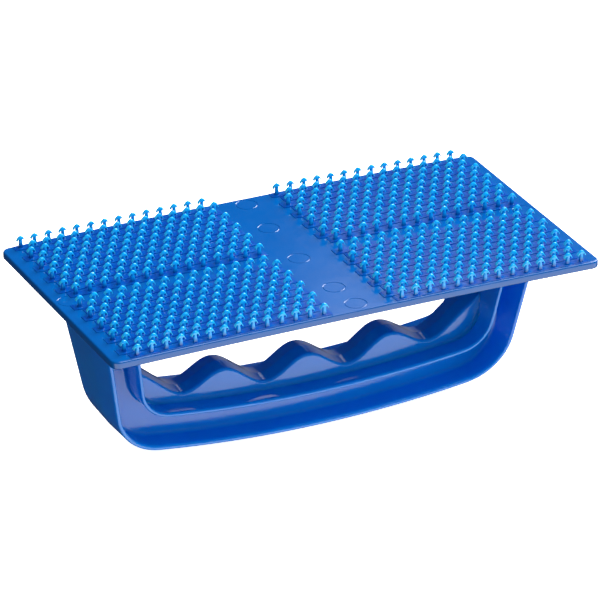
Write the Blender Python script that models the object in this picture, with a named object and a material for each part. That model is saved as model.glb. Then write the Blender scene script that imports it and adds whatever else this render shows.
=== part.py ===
"""Hand-held griddle pad holder: a hooked plate on a stirrup handle.

Metres, +Z up, origin under the centre of the handle.  X runs along the plate,
Y across it.  The hooks point up and the handle hangs below the plate.
"""

from math import asin, cos, pi, radians, sin, sqrt, tan

import bmesh
import bpy

# Driving dimensions
PLATE_LENGTH = 0.150
PLATE_WIDTH = 0.080
PLATE_THICKNESS = 0.0023
PLATE_CORNER_RADIUS = 0.0025
PLATE_CROWN = 0.0006          # rise of the middle over the two ends
PLATE_TOP_HEIGHT = 0.0502     # top face at the two ends, above the handle's base

HOOK_PITCH = 0.00434          # between hooks along a row
HOOKS_PER_ROW = 14
HOOK_HEIGHT = 0.0037
HOOK_HEAD_WIDTH = 0.0021
HOOK_STEM_WIDTH = 0.0008
HOOK_FOOT_WIDTH = 0.0011
HOOK_DEPTH = 0.0011
ROW_PITCH = 0.00383           # between rows, across the plate
ROWS_PER_FIELD = 10
FIELD_SPAN_IN_PITCHES = 32    # first hook of the left field to last of the right
STRIP_WIDTH = 0.0020
STRIP_THICKNESS = 0.0005

HANDLE_TOP_HALF_WIDTH = 0.0172
HANDLE_WIDTH_TAPER = 0.148    # half width lost for each metre down
RIM_BOW_RADIUS = 0.354        # long arc of the handle's base
OUTER_RIM_HALF_LENGTH = 0.0681
OUTER_RIM_LEAN = radians(10.05)
OUTER_RIM_CORNER_RADIUS = 0.0167
OUTER_RIM_THICKNESS = 0.0020
INNER_RIM_HALF_LENGTH = 0.0596
INNER_RIM_LEAN = radians(9.2)
INNER_RIM_CORNER_RADIUS = 0.0115
INNER_RIM_THICKNESS = 0.0019
INNER_RIM_BASE_HEIGHT = 0.0110
WEB_HALF_WIDTH = 0.0028       # wall at mid width between the two rims

GRIP_HALF_WIDTH = 0.0052
GRIP_MEAN_HEIGHT = 0.0186     # top of the grip at mid length, without its waves
FINGER_PITCH = 0.026
FINGER_WAVE = 0.0030          # half the height from groove to crest
GRIP_SWEEP_START = 0.0475     # distance from the middle where the ends sweep up
GRIP_SWEEP = 60.0             # their rise, times the square of the distance beyond it

GAP = 0.0003                  # clearance between neighbouring solids
CORNER_STEPS = 6
BASE_STEPS = 9                # odd, so the base has a flat middle facet
GRIP_STEPS = 44
PLATE_STATIONS = (-1.0, -0.8, -0.6, -0.4, -0.15, 0.15, 0.4, 0.6, 0.8, 1.0)

HANDLE_TOP_HEIGHT = PLATE_TOP_HEIGHT - PLATE_THICKNESS - GAP


def clear_scene():
    for item in list(bpy.data.objects):
        bpy.data.objects.remove(item, do_unlink=True)


def plastic(name, colour, roughness):
    material = bpy.data.materials.new(name)
    material.use_nodes = True
    shader = material.node_tree.nodes["Principled BSDF"]
    shader.inputs["Base Color"].default_value = (*colour, 1.0)
    shader.inputs["Roughness"].default_value = roughness
    shader.inputs["Metallic"].default_value = 0.0
    return material


def add_object(name, mesh, material):
    item = bpy.data.objects.new(name, mesh)
    bpy.context.scene.collection.objects.link(item)
    if not mesh.materials:
        mesh.materials.append(material)
    return item


def crown_height(x):
    """Height of the plate's top face, which is slightly higher in the middle."""
    along = 2.0 * x / PLATE_LENGTH
    return PLATE_TOP_HEIGHT + PLATE_CROWN * (1.0 - along * along)


def prism_bmesh(outline, half_width):
    """Solid between -Y and +Y with the (x, z) outline; half_width(z) may taper."""
    shape = bmesh.new()
    front = [shape.verts.new((x, -half_width(z), z)) for x, z in outline]
    back = [shape.verts.new((x, half_width(z), z)) for x, z in outline]
    shape.faces.new(front)
    shape.faces.new(list(reversed(back)))
    for index in range(len(outline)):
        after = (index + 1) % len(outline)
        shape.faces.new((front[index], back[index], back[after], front[after]))
    bmesh.ops.recalc_face_normals(shape, faces=shape.faces)
    return shape


def mesh_from(shape, name):
    mesh = bpy.data.meshes.new(name)
    shape.to_mesh(mesh)
    shape.free()
    return mesh


def prism(name, outline, half_width, material):
    mesh = mesh_from(prism_bmesh(outline, half_width), name)
    item = add_object(name, mesh, material)
    mesh.shade_smooth()
    mesh.set_sharp_from_angle(angle=radians(30.0))
    return item


def boolean(item, other, operation):
    """Apply a Boolean to item and remove the other object."""
    step = item.modifiers.new("boolean", "BOOLEAN")
    step.operation = operation
    step.solver = "EXACT"
    step.object = other
    graph = bpy.context.evaluated_depsgraph_get()
    result = bpy.data.meshes.new_from_object(item.evaluated_get(graph))
    item.modifiers.remove(step)
    item.data = result
    bpy.data.objects.remove(other, do_unlink=True)


# Base plate ---------------------------------------------------------------

def field_limits(side):
    """X limits of one half's hook strips: side -1 is left, +1 is right."""
    outer = (0.5 * FIELD_SPAN_IN_PITCHES + 0.5) * HOOK_PITCH
    inner = outer - HOOKS_PER_ROW * HOOK_PITCH - 0.5 * HOOK_PITCH
    return tuple(sorted((side * outer, side * inner)))


def crowned_slab(x_low, x_high, y_half, top_offset, depth):
    """Slab that follows the plate's crown, from top_offset down by depth."""
    stations = [x_low] + [s * PLATE_LENGTH / 2.0 for s in PLATE_STATIONS
                          if x_low < s * PLATE_LENGTH / 2.0 < x_high] + [x_high]
    top = [(x, crown_height(x) + top_offset) for x in stations]
    bottom = [(x, z - depth) for x, z in reversed(top)]
    return prism_bmesh(top + bottom, lambda z: y_half)


def make_base_plate(material):
    half = PLATE_LENGTH / 2.0
    shape = crowned_slab(-half, half, PLATE_WIDTH / 2.0, 0.0, PLATE_THICKNESS)
    corners = [edge for edge in shape.edges
               if all(abs(abs(v.co.x) - half) < 1e-6 for v in edge.verts)
               and abs(edge.verts[0].co.y - edge.verts[1].co.y) < 1e-6]
    bmesh.ops.bevel(shape, geom=corners, offset=PLATE_CORNER_RADIUS, segments=4,
                    profile=0.5, affect="EDGES")
    plate = add_object("base_plate", mesh_from(shape, "base_plate"), material)
    pocket_depth = STRIP_THICKNESS + GAP
    y_low = ROW_PITCH - STRIP_WIDTH / 2.0 - GAP
    y_high = ROWS_PER_FIELD * ROW_PITCH + STRIP_WIDTH / 2.0 + GAP
    for side in (-1, 1):
        x_low, x_high = field_limits(side)
        for direction in (-1, 1):
            cut = crowned_slab(x_low - GAP, x_high + GAP, (y_high - y_low) / 2.0,
                               pocket_depth, 2.0 * pocket_depth)
            cutter = add_object("pocket", mesh_from(cut, "pocket"), material)
            cutter.location.y = direction * (y_low + y_high) / 2.0
            boolean(plate, cutter, "DIFFERENCE")
    return plate


# Hook rows ----------------------------------------------------------------

def hook_outline(x, floor):
    """Double-barbed hook seen along Y, standing on the floor height."""
    foot = HOOK_FOOT_WIDTH / 2.0
    stem = HOOK_STEM_WIDTH / 2.0
    head = HOOK_HEAD_WIDTH / 2.0
    root = floor - STRIP_THICKNESS / 2.0
    neck = floor + 0.78 * HOOK_HEIGHT
    barb = floor + 0.70 * HOOK_HEIGHT
    return [(x - foot, root), (x - stem, neck), (x - head, barb),
            (x, floor + HOOK_HEIGHT), (x + head, barb), (x + stem, neck),
            (x + foot, root)]


def hook_row_mesh(name, first_x, material):
    """One moulded row: a floor strip with its hooks standing on it."""
    last_x = first_x + (HOOKS_PER_ROW - 1) * HOOK_PITCH
    strip = crowned_slab(first_x - HOOK_PITCH / 2.0, last_x + HOOK_PITCH / 2.0,
                         STRIP_WIDTH / 2.0, 0.0, STRIP_THICKNESS)
    row = add_object(name, mesh_from(strip, name), material)
    hooks = bmesh.new()
    for index in range(HOOKS_PER_ROW):
        x = first_x + index * HOOK_PITCH
        hook = mesh_from(prism_bmesh(hook_outline(x, crown_height(x)),
                                     lambda z: HOOK_DEPTH / 2.0), "hook")
        hooks.from_mesh(hook)
        bpy.data.meshes.remove(hook)
    boolean(row, add_object("hooks", mesh_from(hooks, "hooks"), material), "UNION")
    mesh = row.data
    bpy.data.objects.remove(row, do_unlink=True)
    return mesh


def make_hook_rows(material):
    """Four fields of ten rows; every other row is shifted by half a pitch."""
    outer = 0.5 * FIELD_SPAN_IN_PITCHES * HOOK_PITCH
    left_first = -outer
    right_first = outer - (HOOKS_PER_ROW - 0.5) * HOOK_PITCH
    for side, first_x in (("left", left_first), ("right", right_first)):
        meshes = [hook_row_mesh("hook_row", first_x + shift, material)
                  for shift in (0.0, HOOK_PITCH / 2.0)]
        for number in range(2 * ROWS_PER_FIELD):
            steps = ROWS_PER_FIELD - number
            if number >= ROWS_PER_FIELD:
                steps -= 1
            name = "hook_row_%s_%02d" % (side, number + 1)
            row = add_object(name, meshes[number % 2], material)
            row.location.y = steps * ROW_PITCH


# Handle -------------------------------------------------------------------

def handle_half_width(z):
    return HANDLE_TOP_HALF_WIDTH - HANDLE_WIDTH_TAPER * (HANDLE_TOP_HEIGHT - z)


def stirrup_path(half_length, lean, corner, base, inset):
    """Points of a U from its left top to its right top, moved inwards by inset.

    Each wall leans inwards on its way down, the base is a long arc whose flat
    middle facet is at the base height, and a round corner joins them.
    """
    arc_radius = RIM_BOW_RADIUS - inset
    arc_centre = base + RIM_BOW_RADIUS
    corner_radius = corner - inset
    wall_x = half_length - inset / cos(lean)
    centre_x = wall_x - corner_radius / cos(lean)
    reach = arc_radius - corner_radius
    # The corner's centre is on the line x = centre_x - slope * drop, and it is
    # reach away from the centre of the long arc.
    slope = tan(lean)
    rise = arc_centre - HANDLE_TOP_HEIGHT
    a = 1.0 + slope * slope
    b = rise - slope * centre_x
    c = centre_x * centre_x + rise * rise - reach * reach
    drop = (-b + sqrt(b * b - a * c)) / a
    cx = centre_x - slope * drop
    cz = HANDLE_TOP_HEIGHT - drop
    half_sweep = asin(cx / reach)
    corner_sweep = pi / 2.0 - half_sweep - lean
    right = [(wall_x, HANDLE_TOP_HEIGHT)]
    for step in range(CORNER_STEPS + 1):
        angle = -lean - corner_sweep * step / CORNER_STEPS
        right.append((cx + corner_radius * cos(angle), cz + corner_radius * sin(angle)))
    sagitta = RIM_BOW_RADIUS * (1.0 - cos(half_sweep / BASE_STEPS))
    base_points = []
    for step in range(1, BASE_STEPS):
        angle = half_sweep * (2.0 * step / BASE_STEPS - 1.0)
        base_points.append((arc_radius * sin(angle),
                            arc_centre - sagitta - arc_radius * cos(angle)))
    left = [(-x, z) for x, z in right]
    return left + base_points + list(reversed(right))


def outer_rim_path(inset):
    return stirrup_path(OUTER_RIM_HALF_LENGTH, OUTER_RIM_LEAN, OUTER_RIM_CORNER_RADIUS,
                        0.0, inset)


def inner_rim_path(inset):
    return stirrup_path(INNER_RIM_HALF_LENGTH, INNER_RIM_LEAN, INNER_RIM_CORNER_RADIUS,
                        INNER_RIM_BASE_HEIGHT, inset)


def make_rims(material):
    outer = outer_rim_path(0.0) + outer_rim_path(OUTER_RIM_THICKNESS)[::-1]
    prism("handle_outer_rim", outer, handle_half_width, material)
    inner = inner_rim_path(0.0) + inner_rim_path(INNER_RIM_THICKNESS)[::-1]
    prism("handle_inner_rim", inner, handle_half_width, material)


def grip_top(x):
    """Height of the finger grip: four grooves on a bow, and ends that sweep up."""
    bow = x * x / (2.0 * RIM_BOW_RADIUS)
    last_crest = 2.0 * FINGER_PITCH
    wave = FINGER_WAVE * cos(2.0 * pi * min(abs(x), last_crest) / FINGER_PITCH)
    end = max(0.0, abs(x) - GRIP_SWEEP_START)
    return GRIP_MEAN_HEIGHT + bow + wave + GRIP_SWEEP * end * end


def wall_x_at(z, inset):
    """Inner rim's wall at height z, moved inwards by inset."""
    return (INNER_RIM_HALF_LENGTH - inset / cos(INNER_RIM_LEAN)
            - tan(INNER_RIM_LEAN) * (HANDLE_TOP_HEIGHT - z))


def make_finger_grip(material):
    """Wall inside the inner rim whose top has the finger grooves."""
    inset = INNER_RIM_THICKNESS + GAP
    end_height = GRIP_MEAN_HEIGHT + FINGER_WAVE
    for _ in range(8):
        end_height = grip_top(wall_x_at(end_height, inset))
    end_x = wall_x_at(end_height, inset)
    below = [(x, z) for x, z in inner_rim_path(inset) if z < end_height - GAP]
    stations = [end_x * (1.0 - 2.0 * step / GRIP_STEPS) for step in range(GRIP_STEPS + 1)]
    top = [(x, grip_top(x)) for x in stations]
    prism("finger_grip", below + top, lambda z: GRIP_HALF_WIDTH, material)


def make_web(material):
    """Wall between the two rims, from plate to plate."""
    outline = outer_rim_path(OUTER_RIM_THICKNESS + GAP) + inner_rim_path(-GAP)[::-1]
    prism("handle_web", outline, lambda z: WEB_HALF_WIDTH, material)


def main():
    clear_scene()
    make_base_plate(plastic("plate_blue", (0.004, 0.13, 0.56), 0.30))
    make_hook_rows(plastic("hook_blue", (0.01, 0.26, 0.80), 0.28))
    make_rims(plastic("rim_blue", (0.003, 0.09, 0.42), 0.25))
    make_web(plastic("web_blue", (0.003, 0.07, 0.36), 0.28))
    make_finger_grip(plastic("grip_blue", (0.003, 0.09, 0.42), 0.25))


main()
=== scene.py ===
"""Looks of a hand-held griddle pad holder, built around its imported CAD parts.

Metres, +Z up.  X runs along the plate and Y across it; the origin is on the
floor below the middle.  Every piece is one region of a single blue moulding.
"""

from math import asin, cos, pi, radians, sin, sqrt, tan

import bmesh
import bpy
import numpy as np
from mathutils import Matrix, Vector


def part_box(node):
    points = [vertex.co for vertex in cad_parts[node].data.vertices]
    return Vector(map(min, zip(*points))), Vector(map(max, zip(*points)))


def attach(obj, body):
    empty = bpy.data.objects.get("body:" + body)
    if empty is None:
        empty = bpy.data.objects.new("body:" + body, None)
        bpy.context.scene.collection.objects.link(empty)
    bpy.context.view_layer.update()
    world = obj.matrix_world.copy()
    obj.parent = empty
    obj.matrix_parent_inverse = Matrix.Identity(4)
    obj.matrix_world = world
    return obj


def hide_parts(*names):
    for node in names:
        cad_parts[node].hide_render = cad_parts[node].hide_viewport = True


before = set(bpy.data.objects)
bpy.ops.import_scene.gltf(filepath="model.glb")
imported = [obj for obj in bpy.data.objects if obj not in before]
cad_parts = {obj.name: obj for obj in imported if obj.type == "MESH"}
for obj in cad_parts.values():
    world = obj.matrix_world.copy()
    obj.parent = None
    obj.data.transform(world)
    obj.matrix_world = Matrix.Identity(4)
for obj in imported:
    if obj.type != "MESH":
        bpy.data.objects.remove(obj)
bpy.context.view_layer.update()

MM = 0.001
rng = np.random.default_rng(7)

# Sizes taken from the CAD parts
plate_low, plate_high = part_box("base_plate")
outer_low, outer_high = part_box("handle_outer_rim")
inner_low, inner_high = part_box("handle_inner_rim")
web_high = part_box("handle_web")[1]
grip_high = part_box("finger_grip")[1]

PLATE_LENGTH = plate_high.x - plate_low.x
PLATE_WIDTH = plate_high.y - plate_low.y
PLATE_CROWN = 0.6 * MM
PLATE_THICKNESS = plate_high.z - plate_low.z - PLATE_CROWN
PLATE_TOP = plate_high.z - PLATE_CROWN        # top face at the two ends
PLATE_CORNER = 2.5 * MM
PLATE_EDGE = 0.5 * MM
PLATE_FLAT_MARGIN = 0.8 * MM                  # keeps the flats' shading out of the round edges
PLATE_STATIONS = 49

HOOK_PITCH = 4.34 * MM
ROW_PITCH = 3.83 * MM
HOOKS_PER_ROW = 14
ROWS_PER_FIELD = 10
HOOK_HEIGHT = 3.7 * MM
HOOK_DEPTH = 1.0 * MM
HOOK_ROUND = 0.20 * MM                        # radius between a hook's front and its sides
HOOK_ROOF = 0.38                              # fall of a hook's top, from its ridge to its front
HOOK_LEAN_SPREAD = 0.02
HOOK_HEIGHT_SPREAD = 0.012
STRIP_RISE = 0.20 * MM
STRIP_SINK = 0.3 * MM
STRIP_END_DROP = 0.06 * MM
STRIP_GAP = 0.40 * MM                         # mean width between neighbouring strips
STRIP_WAVE = 0.10 * MM
STRIP_STEPS_PER_HOOK = 4
STRIP_MARGIN = 0.6 * MM                       # from an outermost strip to the plate's long edge

EJECTOR_RING_RADIUS = 3.1 * MM
# X and Y in millimetres: five along the smooth band, then one at each end
EJECTOR_RING_PLACES = ((0.0, 35.8), (-1.0, 18.7), (-1.8, -3.0), (-1.0, -24.0), (0.0, -35.8),
                       (-70.8, 0.8), (70.8, -0.8))
EJECTOR_GROOVE_RADIUS = 0.17 * MM
EJECTOR_GROOVE_RISE = 0.05 * MM               # middle of the round cutter over the plate

HANDLE_TOP = outer_high.z
HANDLE_HALF_WIDTH = outer_high.y
HANDLE_TAPER = 0.148
RIM_BOW_RADIUS = 354.0 * MM
OUTER_LEAN = radians(10.05)
OUTER_CORNER = 16.7 * MM
OUTER_BULGE = 0.3 * MM                        # outer face, mid plane over the edge
OUTER_EDGE = 1.7 * MM                         # thickness of the round edge at the base
INNER_LEAN = radians(9.2)
INNER_CORNER = 11.5 * MM
INNER_INSET = 0.4 * MM
INNER_EDGE = 1.4 * MM
WALL_THINNING = 0.3                           # share of an edge's thickness lost at the walls
RIM_DRAFT = -0.20 * MM                        # rims are thinner next to the wall
WEB_HALF_WIDTH = web_high.y
WEB_FILLET = 1.0 * MM
HANDLE_SINK = 0.6 * MM                        # into the plate, because they are one moulding

GRIP_HALF_WIDTH = grip_high.y
GRIP_MEAN_HEIGHT = 18.6 * MM
FINGER_PITCH = 26.0 * MM
FINGER_WAVE = 3.0 * MM
GRIP_SWEEP_START = 47.5 * MM
GRIP_SWEEP = 60.0
GRIP_EDGE = 0.9 * MM
GRIP_RIDGE = 0.35 * MM                        # top of the grip, mid plane over the edge
GRIP_LEAST_HEIGHT = 3.0 * MM
GRIP_SINK = 0.8 * MM                          # into the inner rim's floor
GRIP_END_SINK = 0.6 * MM                      # into the inner rim's walls

WALL_STEPS = 12
CORNER_STEPS = 14
BASE_STEPS = 48
GRIP_STEPS = 120

# Camera: where it stands round the middle of the plate's top, and its lens
CAMERA_AZIMUTH = radians(-25.534)
CAMERA_ELEVATION = radians(25.579)
CAMERA_DISTANCE = 1.447
CAMERA_LENS = 307.2
CAMERA_AIM_DROP = 14.2 * MM

# Blues, as linear colours
PLATE_BLUES = ((0.0003, 0.083, 0.335), (0.0005, 0.095, 0.37))
# Handle blues are lighter than the plate's though both are one plastic: painted light that makes
# up for the shade inside the handle's channels
HANDLE_BRIGHTENED_BLUES = ((0.0004, 0.172, 0.63), (0.0006, 0.195, 0.69))
# Hook blues with light and shade painted in: the foot blue is painted shade at the feet and on
# the strips between the hooks, the head blue is painted light up the hooks
HOOK_FOOT_SHADE_BLUE = (0.0003, 0.055, 0.35)
HOOK_HEAD_LIT_BLUE = (0.005, 0.40, 0.90)
HOOK_CLOUD_BLUE = (0.003, 0.25, 0.62)
# painted glow on the thin barb tips, where light shines through
HOOK_BARB_GLOW_BLUE = (0.07, 0.75, 1.0)
# the painted lightening up a hook is full from this share of its height
HOOK_HEAD_SHARE = 0.6                         # share of a hook's height where its head begins

FLOOR_HALF_SIDE = 6.0
FLOOR_GLOW = 0.9

# Panels: name, azimuth, elevation, width, height and radiance.  The angles are in
# degrees, seen from the object, and azimuth turns from +Y to +X
LIGHT_DISTANCE = 4.0
PANELS = (("key", 60.0, 39.0, 26.0, 28.0, 13.0),
          ("sheen", 31.2, 35.8, 10.0, 18.0, 1.5),
          ("overhead", 130.0, 68.0, 34.0, 34.0, 5.7))

SKY_RADIANCE = 0.66
SKY_RISE_RIGHT = 0.40                         # the sky is brighter to the right and in front
SKY_RISE_FRONT = 0.50
# What the gloss reflects: each pair is where, along a direction's X, Y or Z, a
# brightness fades in or out
ROOM_RADIANCE = 0.03
TABLE_RADIANCE = 3.0
TABLE_FADE_Y = (-0.45, 0.0)
TABLE_FADE_Z = (-0.25, 0.02)
GLOW_RADIANCE = 0.3
GLOW_RISE_X = (0.30, 0.45)
GLOW_RISE_Y = (0.4, 0.6)
GLOW_RISE_Z = (-0.35, -0.10)
GLOW_FADE_Z = (0.28, 0.38)


# Mesh helpers -------------------------------------------------------------

def add_piece(name, mesh, material, slot, *nodes, sharp=radians(38.0)):
    """Links a mesh as a piece that rides on the root body and replaces CAD nodes."""
    piece = bpy.data.objects.new(name, mesh)
    bpy.context.scene.collection.objects.link(piece)
    mesh.materials.clear()
    mesh.materials.append(material)
    mesh.shade_smooth()
    mesh.set_sharp_from_angle(angle=sharp)
    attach(piece, "root")
    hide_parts(*nodes)


def loft(name, rings):
    """Closed skin over rings of points, with flat caps on the first and last."""
    count, size, _ = rings.shape
    faces = []
    for ring in range(count - 1):
        here, after = ring * size, (ring + 1) * size
        for point in range(size):
            side = (point + 1) % size
            faces.append((here + point, here + side, after + side, after + point))
    faces.append(tuple(range(size))[::-1])
    faces.append(tuple((count - 1) * size + point for point in range(size)))
    mesh = bpy.data.meshes.new(name)
    mesh.from_pydata(rings.reshape(-1, 3).tolist(), [], faces)
    shape = bmesh.new()
    shape.from_mesh(mesh)
    bmesh.ops.recalc_face_normals(shape, faces=shape.faces)
    shape.to_mesh(mesh)
    shape.free()
    return mesh


def crown_height(x):
    """Height of the plate's top face, which is slightly higher in the middle."""
    along = 2.0 * x / PLATE_LENGTH
    return PLATE_TOP + PLATE_CROWN * (1.0 - along * along)


# Materials ----------------------------------------------------------------

class Nodes:
    """Small helper to add and link shader nodes."""

    def __init__(self, name):
        self.material = bpy.data.materials.new(name)
        self.material.use_nodes = True
        self.tree = self.material.node_tree
        self.shader = self.tree.nodes["Principled BSDF"]
        coordinates = self.tree.nodes.new("ShaderNodeTexCoord")
        self.place = coordinates.outputs["Object"]

    def add(self, kind, **settings):
        node = self.tree.nodes.new("ShaderNode" + kind)
        for key, value in settings.items():
            setattr(node, key, value)
        return node

    def link(self, output, socket):
        self.tree.links.new(output, socket)

    def noise(self, scale, detail):
        node = self.add("TexNoise")
        node.inputs["Scale"].default_value = scale
        node.inputs["Detail"].default_value = detail
        self.link(self.place, node.inputs["Vector"])
        return node.outputs["Fac"]

    def ramp(self, value, low, high, to_low, to_high):
        node = self.add("MapRange")
        for key, number in (("From Min", low), ("From Max", high),
                            ("To Min", to_low), ("To Max", to_high)):
            node.inputs[key].default_value = number
        self.link(value, node.inputs["Value"])
        return node.outputs["Result"]

    def blend(self, factor, colour_a, colour_b):
        node = self.add("Mix", data_type="RGBA")
        self.link(factor, node.inputs["Factor"])
        for socket, colour in (("A", colour_a), ("B", colour_b)):
            target = [s for s in node.inputs if s.name == socket and s.type == "RGBA"][0]
            if isinstance(colour, tuple):
                target.default_value = (*colour, 1.0)
            else:
                self.link(colour, target)
        return [s for s in node.outputs if s.type == "RGBA"][0]

    def bump(self, height, distance, under=None):
        node = self.add("Bump")
        node.inputs["Strength"].default_value = 1.0
        node.inputs["Distance"].default_value = distance
        self.link(height, node.inputs["Height"])
        if under is not None:
            self.link(under, node.inputs["Normal"])
        return node.outputs["Normal"]


def moulded_plastic(name, blues, roughness, glow):
    """Glossy moulded plastic: faint pigment flow, uneven polish, soft sink marks."""
    dark, light = blues
    nodes = Nodes(name)
    shader = nodes.shader
    flow = nodes.ramp(nodes.noise(45.0, 3.0), 0.3, 0.7, 0.0, 1.0)
    nodes.link(nodes.blend(flow, dark, light), shader.inputs["Base Color"])
    polish = nodes.ramp(nodes.noise(260.0, 4.0), 0.3, 0.7,
                        roughness * 0.8, roughness * 1.25)
    nodes.link(polish, shader.inputs["Roughness"])
    sink = nodes.bump(nodes.noise(70.0, 1.0), 0.03 * MM)
    grain = nodes.bump(nodes.noise(2600.0, 2.0), 0.006 * MM, under=sink)
    nodes.link(grain, shader.inputs["Normal"])
    shader.inputs["Subsurface Weight"].default_value = glow
    shader.inputs["Subsurface Radius"].default_value = (0.1, 0.9, 1.0)
    shader.inputs["Subsurface Scale"].default_value = 3.5 * MM
    shader.inputs["IOR"].default_value = 1.49
    return nodes.material


def hook_plastic(name):
    """The same plastic where it is thin: light soaks into the hooks. Light and shade are also
    painted into its colour: darker at the foot and on the strips, lighter up the hook, and a
    painted glow at the thin barb tips.
    """
    nodes = Nodes(name)
    shader = nodes.shader
    split = nodes.add("SeparateXYZ")
    nodes.link(nodes.place, split.inputs["Vector"])
    foot = PLATE_TOP + PLATE_CROWN + STRIP_RISE
    head = PLATE_TOP + HOOK_HEAD_SHARE * HOOK_HEIGHT
    # painted shade low down and painted light higher up: the blue climbs with height from the
    # foot blue to the head blue
    height = nodes.ramp(split.outputs["Z"], foot, head, 0.0, 1.0)
    column = nodes.blend(height, HOOK_FOOT_SHADE_BLUE, HOOK_HEAD_LIT_BLUE)
    cloud = nodes.ramp(nodes.noise(300.0, 2.0), 0.3, 0.7, 0.0, 0.2)
    column = nodes.blend(cloud, column, HOOK_CLOUD_BLUE)
    # painted glow where the hook is thin, strongest at the barb tips
    thin = nodes.ramp(nodes.add("Attribute", attribute_name="thin").outputs["Fac"],
                      0.4, 0.95, 0.0, 0.9)
    nodes.link(nodes.blend(thin, column, HOOK_BARB_GLOW_BLUE), shader.inputs["Base Color"])
    polish = nodes.ramp(nodes.noise(900.0, 2.0), 0.3, 0.7, 0.09, 0.15)
    nodes.link(polish, shader.inputs["Roughness"])
    nodes.link(nodes.bump(nodes.noise(1500.0, 2.0), 0.02 * MM), shader.inputs["Normal"])
    shader.inputs["Subsurface Weight"].default_value = 0.25
    shader.inputs["Subsurface Radius"].default_value = (0.15, 0.6, 1.0)
    shader.inputs["Subsurface Scale"].default_value = 0.8 * MM
    shader.inputs["IOR"].default_value = 1.49
    return nodes.material


# Plate --------------------------------------------------------------------

def make_plate(material):
    """Crowned slab with round corners, softened edges and ejector rings."""
    end = PLATE_LENGTH / 2.0
    stations = np.linspace(-end, end, PLATE_STATIONS)
    half = PLATE_WIDTH / 2.0
    shape = bmesh.new()
    columns = []
    for x in stations:
        top = crown_height(x)
        columns.append([shape.verts.new((x, y, z)) for y, z in
                        ((-half, top - PLATE_THICKNESS), (half, top - PLATE_THICKNESS),
                         (half, top), (-half, top))])
    for before, after in zip(columns, columns[1:]):
        for corner in range(4):
            side = (corner + 1) % 4
            shape.faces.new((before[corner], before[side], after[side], after[corner]))
    shape.faces.new(columns[0][::-1])
    shape.faces.new(columns[-1])
    bmesh.ops.recalc_face_normals(shape, faces=shape.faces)
    uprights = [edge for edge in shape.edges
                if all(abs(v.co.x) > end - 1e-6 for v in edge.verts)
                and abs(edge.verts[0].co.y - edge.verts[1].co.y) < 1e-6]
    bmesh.ops.bevel(shape, geom=uprights, offset=PLATE_CORNER, segments=8,
                    profile=0.5, affect="EDGES")
    shape.normal_update()
    for way in (1.0, -1.0):
        flats = [face for face in shape.faces if way * face.normal.z > 0.9]
        bmesh.ops.inset_region(shape, faces=flats, thickness=PLATE_FLAT_MARGIN,
                               use_even_offset=True)
    rims = [edge for edge in shape.edges if edge.calc_face_angle(0.0) > radians(70.0)]
    bmesh.ops.bevel(shape, geom=rims, offset=PLATE_EDGE, segments=3,
                    profile=0.5, affect="EDGES")
    mesh = bpy.data.meshes.new("plate_moulding")
    shape.to_mesh(mesh)
    shape.free()
    add_piece("plate_moulding", cut_ejector_rings(mesh), material, "plate", "base_plate")


def ring_mesh(name, middle, radius, thickness):
    """Torus lying flat round its middle."""
    around, across = 56, 8
    points, faces = [], []
    for turn in range(around):
        angle = 2.0 * pi * turn / around
        for step in range(across):
            tilt = 2.0 * pi * step / across
            reach = radius + thickness * cos(tilt)
            points.append((middle[0] + reach * cos(angle), middle[1] + reach * sin(angle),
                           middle[2] + thickness * sin(tilt)))
            after, side = (turn + 1) % around, (step + 1) % across
            faces.append((turn * across + step, after * across + step,
                          after * across + side, turn * across + side))
    mesh = bpy.data.meshes.new(name)
    mesh.from_pydata(points, [], faces)
    return mesh


def cut_ejector_rings(mesh):
    """Shallow round grooves that ejector pins leave on the smooth band and at the ends."""
    rings = bmesh.new()
    for x, y in EJECTOR_RING_PLACES:
        x, y = x * MM, y * MM
        middle = (x, y, crown_height(x) + EJECTOR_GROOVE_RISE)
        ring = ring_mesh("ring", middle, EJECTOR_RING_RADIUS, EJECTOR_GROOVE_RADIUS)
        rings.from_mesh(ring)
    cutter_mesh = bpy.data.meshes.new("rings")
    rings.to_mesh(cutter_mesh)
    rings.free()
    slab = bpy.data.objects.new("slab", mesh)
    cutter = bpy.data.objects.new("ring_cutter", cutter_mesh)
    for item in (slab, cutter):
        bpy.context.scene.collection.objects.link(item)
    cut = slab.modifiers.new("cut", "BOOLEAN")
    cut.operation = "DIFFERENCE"
    cut.solver = "EXACT"
    cut.object = cutter
    graph = bpy.context.evaluated_depsgraph_get()
    result = bpy.data.meshes.new_from_object(slab.evaluated_get(graph))
    for item in (slab, cutter):
        bpy.data.objects.remove(item, do_unlink=True)
    result.name = "plate_moulding"
    return result


# Hook rows ----------------------------------------------------------------

# Half of a hook's outline in millimetres, from its foot up to its tip: distance from
# the middle, height, and how far the round front and back may cut in there
HOOK_HALF_OUTLINE = ((0.96, -0.10, 0.28), (0.78, 0.12, 0.30), (0.70, 0.45, 0.32),
                     (0.62, 1.20, 0.34), (0.53, 2.05, 0.34), (0.51, 2.52, 0.30),
                     (0.66, 2.64, 0.14), (0.87, 2.42, 0.09), (1.06, 2.14, 0.05),
                     (1.18, 2.06, 0.02), (1.24, 2.16, 0.03), (1.17, 2.50, 0.08),
                     (1.00, 2.88, 0.15), (0.78, 3.22, 0.22), (0.52, 3.50, 0.30),
                     (0.14, 3.68, 0.40))
HOOK_TIP_CUT = 0.40 * MM                      # the same limit at the very tip
HOOK_RING_SHARES = (0.12, 0.64, 0.82, 0.95, 1.0)


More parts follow.
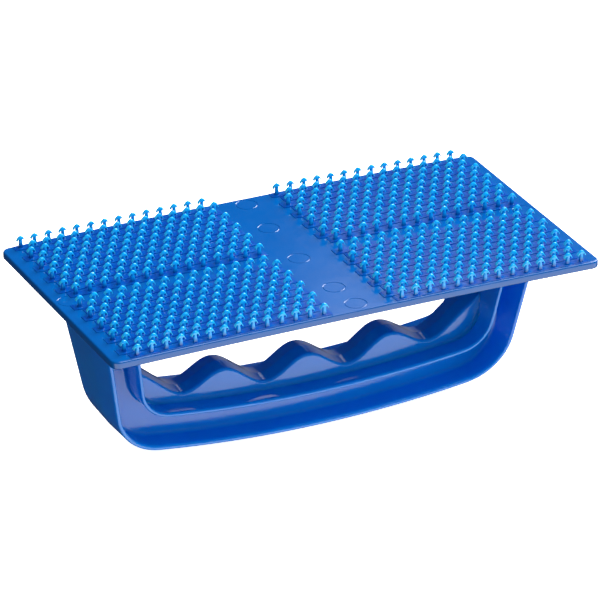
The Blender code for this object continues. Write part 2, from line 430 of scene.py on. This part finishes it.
def hook_mesh():
    """One double-barbed hook, standing on z = 0, with its barbs along X.

    Also returns how thin it is at each point, from 0 in the stem to 1 at the barbs.
    """
    right = np.array(HOOK_HALF_OUTLINE) * MM
    left = right[::-1] * (-1.0, 1.0, 1.0)
    outline = np.vstack([right, [[0.0, HOOK_HEIGHT, HOOK_TIP_CUT]], left])
    along = np.roll(outline, -1, axis=0) - np.roll(outline, 1, axis=0)
    inward = np.stack([-along[:, 1], along[:, 0]], axis=1)
    inward /= np.linalg.norm(inward, axis=1, keepdims=True)
    half = HOOK_DEPTH / 2.0
    rings = []
    for share in [-front for front in HOOK_RING_SHARES[::-1]] + list(HOOK_RING_SHARES):
        out = abs(share) * half
        past = max(0.0, out - (half - HOOK_ROUND))
        cut = HOOK_ROOF * out + HOOK_ROUND - sqrt(HOOK_ROUND * HOOK_ROUND - past * past)
        shrunk = outline[:, :2] + inward * np.minimum(cut, outline[:, 2])[:, None]
        rings.append([(x, share * half, z) for x, z in shrunk])
    thin = np.tile(1.0 - outline[:, 2] / HOOK_TIP_CUT, len(rings))
    return loft("hook", np.array(rings)), thin


def strip_rings(first_x, y):
    """Low strip under one row, with gently scalloped long edges."""
    start = first_x - HOOK_PITCH / 2.0
    length = HOOKS_PER_ROW * HOOK_PITCH
    steps = HOOKS_PER_ROW * STRIP_STEPS_PER_HOOK
    rings = []
    for step in range(steps + 1):
        x = start + length * step / steps
        end = STRIP_END_DROP if step in (0, steps) else 0.0
        wave = STRIP_WAVE * cos(2.0 * pi * (x - first_x) / HOOK_PITCH)
        half = (ROW_PITCH - STRIP_GAP) / 2.0 + wave
        near = -min(half, PLATE_WIDTH / 2.0 - STRIP_MARGIN + y)
        far = min(half, PLATE_WIDTH / 2.0 - STRIP_MARGIN - y)
        top = crown_height(x) + STRIP_RISE
        under = crown_height(x) - STRIP_SINK
        ring = [(near, under), (near, top - end), (far, top - end), (far, under)]
        rings.append([(x, y + across, z) for across, z in ring])
    return np.array(rings)


def make_hook_row(name, first_x, y, hook, thinness, material):
    """A strip and its hooks, each hook a little different from the next."""
    row = bmesh.new()
    thin = row.verts.layers.float.new("thin")
    row.from_mesh(loft("strip", strip_rings(first_x, y)))
    for index in range(HOOKS_PER_ROW):
        x = first_x + index * HOOK_PITCH
        start = len(row.verts)
        row.from_mesh(hook)
        row.verts.ensure_lookup_table()
        lean_x, lean_y = rng.normal(0.0, HOOK_LEAN_SPREAD, 2)
        tall = 1.0 - abs(rng.normal(0.0, HOOK_HEIGHT_SPREAD))
        for vert, share in zip(row.verts[start:], thinness):
            vert[thin] = share
            px, py, pz = vert.co
            vert.co = (x + px + lean_x * pz, y + py + lean_y * pz,
                       crown_height(x) + pz * tall)
    mesh = bpy.data.meshes.new(name)
    row.to_mesh(mesh)
    row.free()
    node = name.replace("hooks", "hook_row")
    add_piece(name, mesh, material, "hooks", node, sharp=radians(62.0))


def make_hook_rows(material):
    """Forty rows on the CAD rows' places: each CAD box gives a row's start and Y."""
    hook, thinness = hook_mesh()
    for side in ("left", "right"):
        for number in range(1, 2 * ROWS_PER_FIELD + 1):
            low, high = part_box("hook_row_%s_%02d" % (side, number))
            make_hook_row("hooks_%s_%02d" % (side, number), low.x + HOOK_PITCH / 2.0,
                          (low.y + high.y) / 2.0, hook, thinness, material)


# Handle -------------------------------------------------------------------

def stirrup(half_length, lean, corner, base, inset):
    """Points of a U in the XZ plane, from left top to right top, moved inwards."""
    arc_radius = RIM_BOW_RADIUS - inset
    arc_centre = base + RIM_BOW_RADIUS
    corner_radius = corner - inset
    wall_x = half_length - inset / cos(lean)
    centre_x = wall_x - corner_radius / cos(lean)
    reach = arc_radius - corner_radius
    slope = tan(lean)
    rise = arc_centre - HANDLE_TOP
    a = 1.0 + slope * slope
    b = rise - slope * centre_x
    c = centre_x * centre_x + rise * rise - reach * reach
    drop = (-b + sqrt(b * b - a * c)) / a
    cx, cz = centre_x - slope * drop, HANDLE_TOP - drop
    half_sweep = asin(cx / reach)
    corner_sweep = pi / 2.0 - half_sweep - lean
    joint = (cx + corner_radius * cos(lean), cz - corner_radius * sin(lean))
    top = HANDLE_TOP + HANDLE_SINK
    top_x = wall_x + slope * (top - HANDLE_TOP)
    right = []
    for step in range(WALL_STEPS):
        share = step / WALL_STEPS
        right.append((top_x + (joint[0] - top_x) * share, top + (joint[1] - top) * share))
    for step in range(CORNER_STEPS + 1):
        angle = -lean - corner_sweep * step / CORNER_STEPS
        right.append((cx + corner_radius * cos(angle), cz + corner_radius * sin(angle)))
    middle = []
    for step in range(1, BASE_STEPS):
        angle = half_sweep * (2.0 * step / BASE_STEPS - 1.0)
        middle.append((arc_radius * sin(angle), arc_centre - arc_radius * cos(angle)))
    left = [(-x, z) for x, z in right]
    return np.array(left + middle + right[::-1])


def half_width(z):
    return HANDLE_HALF_WIDTH - HANDLE_TAPER * (HANDLE_TOP - z)


def quarter(count):
    """Angles from 0 to a quarter turn."""
    return np.linspace(0.0, pi / 2.0, count + 1)


def edge_sizes(point, normal, edge):
    """Half width, thickness and centre of a rim's round edge, thinner up the walls."""
    upright = min(1.0, abs(normal[0]))
    thickness = edge * (1.0 - WALL_THINNING * upright)
    wide = half_width(point[1])
    return wide, thickness, wide - thickness / 2.0


def beam_half(outer, outer_normal, inner, inner_normal):
    """Half of the handle's I-shaped section, as (x, distance from mid plane, z).

    It runs from the outer face at the mid plane round the outer rim's edge, along
    the channel and its wall, and round the inner rim's edge to the inner face.
    """
    points = []

    def add(origin, normal, depth, across):
        points.append((origin[0] + normal[0] * depth, across, origin[1] + normal[1] * depth))

    def round_edge(origin, normal, depth, thickness, wide):
        radius = thickness / 2.0
        for angle in np.linspace(0.0, pi, 9):
            add(origin, normal, depth + radius * (1.0 - cos(angle)),
                wide - radius + radius * sin(angle))

    wide, thickness, side = edge_sizes(outer, outer_normal, OUTER_EDGE)
    for share in (0.0, 0.3, 0.6, 0.85):
        add(outer, outer_normal, OUTER_BULGE * share, side * share)
    round_edge(outer, outer_normal, OUTER_BULGE, thickness, wide)
    inside = OUTER_BULGE + thickness
    floor_end = WEB_HALF_WIDTH + WEB_FILLET
    for share in (0.66, 0.33, 0.0):
        add(outer, outer_normal, inside + RIM_DRAFT * (1.0 - share),
            floor_end + (side - floor_end) * share)
    low = np.array(outer) + np.array(outer_normal) * (inside + RIM_DRAFT)
    high = np.array(inner) + np.array(inner_normal) * (INNER_INSET - RIM_DRAFT)
    up = (high - low) / np.linalg.norm(high - low)
    for angle in quarter(4)[1:]:
        add(low, up, WEB_FILLET * (1.0 - cos(angle)), floor_end - WEB_FILLET * sin(angle))
    for angle in quarter(4):
        add(high, up, -WEB_FILLET * (1.0 - sin(angle)),
            WEB_HALF_WIDTH + WEB_FILLET * (1.0 - cos(angle)))
    wide, thickness, side = edge_sizes(inner, inner_normal, INNER_EDGE)
    for share in (0.33, 0.66):
        add(inner, inner_normal, INNER_INSET - RIM_DRAFT * (1.0 - share),
            floor_end + (side - floor_end) * share)
    round_edge(inner, inner_normal, INNER_INSET, thickness, wide)
    for share in (0.75, 0.5, 0.25, 0.0):
        add(inner, inner_normal, INNER_INSET + thickness + RIM_DRAFT * (1.0 - share),
            side * share)
    return points


def make_handle(material):
    """Both rims and the wall between them as one continuous moulding."""
    outer = stirrup(outer_high.x, OUTER_LEAN, OUTER_CORNER, outer_low.z, 0.0)
    outer_in = stirrup(outer_high.x, OUTER_LEAN, OUTER_CORNER, outer_low.z, MM)
    inner = stirrup(inner_high.x, INNER_LEAN, INNER_CORNER, inner_low.z, 0.0)
    inner_in = stirrup(inner_high.x, INNER_LEAN, INNER_CORNER, inner_low.z, MM)
    rings = []
    for o, oi, i, ii in zip(outer, outer_in, inner, inner_in):
        half = beam_half(o, (oi - o) / MM, i, (ii - i) / MM)
        front = [(x, -across, z) for x, across, z in half]
        back = [(x, across, z) for x, across, z in half[-2:0:-1]]
        rings.append(front + back)
    add_piece("handle_moulding", loft("handle_moulding", np.array(rings)), material,
              "handle", "handle_outer_rim", "handle_inner_rim", "handle_web")


def grip_top(x):
    """Height of the finger grip: four grooves on a bow, and ends that sweep up."""
    bow = x * x / (2.0 * RIM_BOW_RADIUS)
    last_crest = 2.0 * FINGER_PITCH
    wave = FINGER_WAVE * cos(2.0 * pi * min(abs(x), last_crest) / FINGER_PITCH)
    end = max(0.0, abs(x) - GRIP_SWEEP_START)
    return GRIP_MEAN_HEIGHT + bow + wave + GRIP_SWEEP * end * end


def make_grip(material):
    """Wall with four finger grooves; its top falls a little from a middle ridge."""
    inner_face = stirrup(inner_high.x, INNER_LEAN, INNER_CORNER, inner_low.z,
                         INNER_INSET + INNER_EDGE + RIM_DRAFT)
    lower = inner_face[WALL_STEPS:-WALL_STEPS]
    end_x = grip_high.x + GRIP_END_SINK
    wide = GRIP_HALF_WIDTH
    rings = []
    for x in np.linspace(-end_x, end_x, GRIP_STEPS + 1):
        top = grip_top(x)
        floor = min(np.interp(x, lower[:, 0], lower[:, 1]), top - GRIP_LEAST_HEIGHT)
        half = [(0.0, floor - GRIP_SINK), (wide + WEB_FILLET, floor - GRIP_SINK)]
        for angle in quarter(4):
            half.append((wide + WEB_FILLET * (1.0 - sin(angle)),
                         floor + WEB_FILLET * (1.0 - cos(angle))))
        shoulder = top - GRIP_RIDGE
        for angle in quarter(5):
            half.append((wide - GRIP_EDGE * (1.0 - cos(angle)),
                         shoulder - GRIP_EDGE * (1.0 - sin(angle))))
        for share in (0.96, 0.7, 0.4, 0.06, 0.0):
            half.append(((wide - GRIP_EDGE) * share, top - GRIP_RIDGE * share))
        front = [(x, -across, z) for across, z in half]
        back = [(x, across, z) for across, z in half[-2:0:-1]]
        rings.append(front + back)
    add_piece("finger_grip_moulding", loft("finger_grip_moulding", np.array(rings)),
              material, "handle", "finger_grip")


# Stage --------------------------------------------------------------------

def make_floor():
    """White paper sheet that glows a little, so that it stays white in the shade."""
    side = FLOOR_HALF_SIDE
    mesh = bpy.data.meshes.new("floor")
    mesh.from_pydata([(-side, -side, 0.0), (side, -side, 0.0), (side, side, 0.0),
                      (-side, side, 0.0)], [], [(0, 1, 2, 3)])
    floor = bpy.data.objects.new("floor", mesh)
    bpy.context.scene.collection.objects.link(floor)
    nodes = Nodes("floor_paper")
    shader = nodes.shader
    tone = nodes.ramp(nodes.noise(3.0, 2.0), 0.3, 0.7, 0.0, 1.0)
    nodes.link(nodes.blend(tone, (0.90, 0.90, 0.90), (0.92, 0.92, 0.92)),
               shader.inputs["Base Color"])
    shader.inputs["Roughness"].default_value = 0.9
    shader.inputs["Specular IOR Level"].default_value = 0.0
    shader.inputs["Emission Color"].default_value = (1.0, 1.0, 1.0, 1.0)
    shader.inputs["Emission Strength"].default_value = FLOOR_GLOW
    mesh.materials.append(nodes.material)
    floor.visible_glossy = False
    floor.visible_diffuse = False


def make_panel(name, azimuth, elevation, wide, tall, radiance):
    """Soft box facing the object, with its place and size given as angles in degrees."""
    a, e = radians(azimuth), radians(elevation)
    direction = Vector((sin(a) * cos(e), cos(a) * cos(e), sin(e)))
    data = bpy.data.lights.new(name, "AREA")
    data.shape = "RECTANGLE"
    data.size = 2.0 * LIGHT_DISTANCE * tan(radians(wide / 2.0))
    data.size_y = 2.0 * LIGHT_DISTANCE * tan(radians(tall / 2.0))
    data.energy = radiance * pi * data.size * data.size_y
    light = bpy.data.objects.new(name, data)
    bpy.context.scene.collection.objects.link(light)
    light.location = direction * LIGHT_DISTANCE
    light.rotation_euler = direction.to_track_quat("Z", "Y").to_euler()


class WorldNodes:
    """Small helper for the world's number nodes."""

    def __init__(self, tree):
        self.tree = tree

    def rise(self, output, low, high, to_low=0.0, to_high=1.0):
        node = self.tree.nodes.new("ShaderNodeMapRange")
        node.interpolation_type = "SMOOTHSTEP"
        for key, number in (("From Min", low), ("From Max", high),
                            ("To Min", to_low), ("To Max", to_high)):
            node.inputs[key].default_value = number
        self.tree.links.new(output, node.inputs["Value"])
        return node.outputs["Result"]

    def fade(self, output, low, high):
        return self.rise(output, low, high, 1.0, 0.0)

    def combine(self, operation, *values):
        result = values[0]
        for value in values[1:]:
            node = self.tree.nodes.new("ShaderNodeMath")
            node.operation = operation
            for socket, term in zip(node.inputs, (result, value)):
                if isinstance(term, float):
                    socket.default_value = term
                else:
                    self.tree.links.new(term, socket)
            result = node.outputs["Value"]
        return result


def make_world():
    """Soft sky for the colours, brighter to the right and in front.

    Reflections see something else: a dim room, a bright table low in front, and a
    low glow at the right of the back.
    """
    world = bpy.data.worlds.new("studio")
    bpy.context.scene.world = world
    world.use_nodes = True
    tree = world.node_tree
    nodes = WorldNodes(tree)
    coordinates = tree.nodes.new("ShaderNodeTexCoord")
    split = tree.nodes.new("ShaderNodeSeparateXYZ")
    tree.links.new(coordinates.outputs["Generated"], split.inputs["Vector"])
    x, y, z = (split.outputs[axis] for axis in "XYZ")
    table = nodes.combine("MULTIPLY", nodes.fade(y, *TABLE_FADE_Y),
                          nodes.fade(z, *TABLE_FADE_Z), TABLE_RADIANCE)
    back_glow = nodes.combine("MULTIPLY", nodes.rise(x, *GLOW_RISE_X),
                              nodes.rise(y, *GLOW_RISE_Y), nodes.rise(z, *GLOW_RISE_Z),
                              nodes.fade(z, *GLOW_FADE_Z), GLOW_RADIANCE)
    in_gloss = nodes.combine("ADD", table, back_glow, ROOM_RADIANCE)
    in_diffuse = nodes.combine("ADD", nodes.combine("MULTIPLY", x, SKY_RISE_RIGHT),
                               nodes.combine("MULTIPLY", y, -SKY_RISE_FRONT), SKY_RADIANCE)
    gloss = tree.nodes.new("ShaderNodeLightPath").outputs["Is Glossy Ray"]
    matt = nodes.combine("SUBTRACT", 1.0, gloss)
    strength = nodes.combine("ADD", nodes.combine("MULTIPLY", gloss, in_gloss),
                             nodes.combine("MULTIPLY", matt, in_diffuse))
    background = tree.nodes["Background"]
    background.inputs["Color"].default_value = (1.0, 1.0, 1.0, 1.0)
    tree.links.new(strength, background.inputs["Strength"])
    world.cycles.sampling_method = "NONE"


def make_lights():
    make_world()
    for panel in PANELS:
        make_panel(*panel)


def make_camera():
    a, e = CAMERA_AZIMUTH, CAMERA_ELEVATION
    back = Vector((sin(a) * cos(e), -cos(a) * cos(e), sin(e)))
    middle = Vector((0.0, 0.0, PLATE_TOP))
    aim = middle - Vector((0.0, 0.0, CAMERA_AIM_DROP))
    data = bpy.data.cameras.new("camera")
    data.lens = CAMERA_LENS
    data.sensor_width = 36.0
    data.clip_start, data.clip_end = 0.1, 20.0
    camera = bpy.data.objects.new("camera", data)
    camera.location = middle + back * CAMERA_DISTANCE
    camera.rotation_euler = (aim - camera.location).to_track_quat("-Z", "Y").to_euler()
    bpy.context.scene.collection.objects.link(camera)
    bpy.context.scene.camera = camera


plate_plastic = moulded_plastic("plate_plastic", PLATE_BLUES, roughness=0.09, glow=0.0)
handle_plastic = moulded_plastic("handle_plastic", HANDLE_BRIGHTENED_BLUES, roughness=0.12, glow=0.6)
make_plate(plate_plastic)
make_hook_rows(hook_plastic("hook_plastic"))
make_handle(handle_plastic)
make_grip(handle_plastic)
make_floor()
make_lights()
make_camera()
bpy.context.scene.view_settings.view_transform = "Standard"
